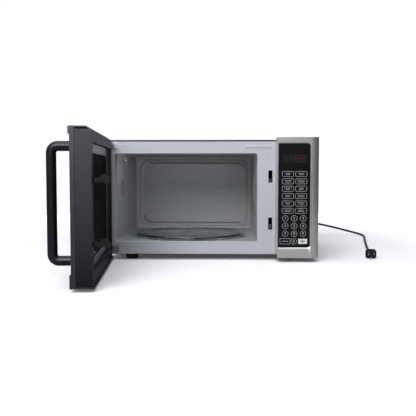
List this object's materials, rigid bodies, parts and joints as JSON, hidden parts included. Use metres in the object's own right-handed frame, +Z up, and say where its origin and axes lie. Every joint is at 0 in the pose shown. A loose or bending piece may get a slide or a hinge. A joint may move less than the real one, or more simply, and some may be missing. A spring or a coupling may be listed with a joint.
{
  "type": "microwave oven",
  "caption": "Countertop microwave oven with its side-hinged door standing open, a tubular handle, glass turntable tray, keypad panel and mains lead.",
  "frame": {"origin": "on the table, in the middle of the four feet's soles", "axes": "+Z up, -Y out of the front, +X to the right as seen from the front"},
  "size_m": [0.8059, 1.0414, 0.3036],
  "materials": {
    "front_enamel": "satin light grey paint on steel",
    "cavity_enamel": "semi-gloss grey enamel",
    "cover_paint": "fine black powder coat",
    "zinc_sheet": "galvanised sheet",
    "screw_steel": "zinc plated",
    "foot_rubber": "moulded",
    "panel_plastic": "metallic grey lacquer on plastic",
    "keypad_film": "glossy printed film",
    "display_tint": "smoked",
    "display_parts": "moulded",
    "circuit_board": "solder resist",
    "black_moulding": "fine textured",
    "mica": "pressed mica sheet",
    "fin_aluminium": "bare",
    "antenna_copper": "plated",
    "core_steel": "varnished laminations",
    "winding_copper": "enamelled wire",
    "clear_glass": "clear",
    "lamp_ceramic": "unglazed",
    "motor_case": "plated case",
    "white_moulding": "smooth",
    "ring_moulding": "smooth",
    "tray_glass": "pressed, faint green",
    "door_dark_metal": "dark metallic paint on plastic",
    "door_pane": "black tinted",
    "choke_plastic": "charcoal",
    "door_sheet": "silver paint",
    "screen_black": "black perforated sheet",
    "window_gloss": "glossy film",
    "handle_satin": "dark satin metal",
    "lead_sheath": "smooth sheath",
    "pin_brass": "nickel plated"
  },
  "bodies": {
    "root": {"back_panel": "zinc_sheet", "base_plate": "zinc_sheet", "board_components": "black_moulding", "cavity_lamp": "clear_glass", "cavity_liner": "cavity_enamel", "control_board": "circuit_board", "control_panel_housing": "panel_plastic", "cover_screws": "screw_steel", "display_module": "display_parts", "display_window": "display_tint", "door_switches": "black_moulding", "fan_bracket": "zinc_sheet", "fan_motor": "core_steel", "fan_shroud": "black_moulding", "feet": "foot_rubber", "front_plate": "front_enamel", "fuse": "clear_glass", "hv_capacitor": "fin_aluminium", "hv_diode": "black_moulding", "keypad_overlay": "keypad_film", "lamp_holder": "lamp_ceramic", "latch_housing": "black_moulding", "lower_hinge": "zinc_sheet", "magnetron_antenna": "antenna_copper", "magnetron_fins": "fin_aluminium", "magnetron_yoke": "zinc_sheet", "noise_filter_board": "circuit_board", "outer_cover": "cover_paint", "plug_body": "lead_sheath", "plug_pins": "pin_brass", "power_cord": "lead_sheath", "strain_relief": "black_moulding", "thermal_cutout": "fin_aluminium", "transformer_core": "core_steel", "transformer_windings": "winding_copper", "turntable_motor": "motor_case", "upper_hinge": "zinc_sheet", "waveguide": "zinc_sheet", "waveguide_cover": "mica"},
    "door": {"door_outer_frame": "door_dark_metal", "door_glass": "door_pane", "choke_cover": "choke_plastic", "door_metal_frame": "door_sheet", "door_screen": "screen_black", "window_film": "window_gloss", "film_screws": "screw_steel", "hinge_bushes": "zinc_sheet", "latch_spring": "screw_steel", "door_handle": "handle_satin", "handle_screws": "screw_steel"},
    "latch": {"latch_hooks": "black_moulding"},
    "coupler": {"turntable_coupler": "white_moulding"},
    "tray": {"glass_tray": "tray_glass"},
    "ring": {"roller_ring": "ring_moulding"},
    "wheel_1": {"roller_1": "white_moulding"},
    "wheel_2": {"roller_2": "white_moulding"},
    "wheel_3": {"roller_3": "white_moulding"},
    "fan": {"fan_blade": "white_moulding", "fan_shaft": "screw_steel"}
  },
  "joints": [
    {"name": "door_hinge", "type": "hinge", "parent": "root", "child": "door", "pos_m": [-0.2542, -0.2129, 0.15], "axis": [0, 0, -1], "range_deg": [-84.7, 19.3]},
    {"name": "latch_lift", "type": "slide", "parent": "door", "child": "latch", "axis": [0, 0, 1], "range_m": [0, 0.004], "stiffness_N_per_m": 200, "springref_m": -0.005},
    {"name": "turntable_spin", "type": "hinge", "parent": "root", "child": "coupler", "pos_m": [-0.062, -0.0076, 0.035], "axis": [0, 0, 1], "continuous": true},
    {"name": "tray_lift", "type": "slide", "parent": "coupler", "child": "tray", "axis": [0, 0, 1], "range_m": [0, 0.04]},
    {"name": "roller_ring_spin", "type": "hinge", "parent": "root", "child": "ring", "pos_m": [-0.062, -0.0076, 0.035], "axis": [0, 0, 1], "continuous": true},
    {"name": "roller_1_spin", "type": "hinge", "parent": "ring", "child": "wheel_1", "pos_m": [-0.14687, -0.0566, 0.0352], "axis": [-0.866, -0.5, 0], "continuous": true},
    {"name": "roller_2_spin", "type": "hinge", "parent": "ring", "child": "wheel_2", "pos_m": [0.02287, -0.0566, 0.0352], "axis": [0.866, -0.5, 0], "continuous": true},
    {"name": "roller_3_spin", "type": "hinge", "parent": "ring", "child": "wheel_3", "pos_m": [-0.062, 0.0904, 0.0352], "axis": [0, 1, 0], "continuous": true},
    {"name": "fan_spin", "type": "hinge", "parent": "root", "child": "fan", "pos_m": [0.19, 0.182, 0.212], "axis": [0, 1, 0], "continuous": true}
  ],
  "couplings": [
    {"joint": "roller_ring_spin", "follows": "turntable_spin", "ratio": 0.5},
    {"joint": "roller_1_spin", "follows": "turntable_spin", "ratio": -8.1667},
    {"joint": "roller_2_spin", "follows": "turntable_spin", "ratio": -8.1667},
    {"joint": "roller_3_spin", "follows": "turntable_spin", "ratio": -8.1667}
  ]
}
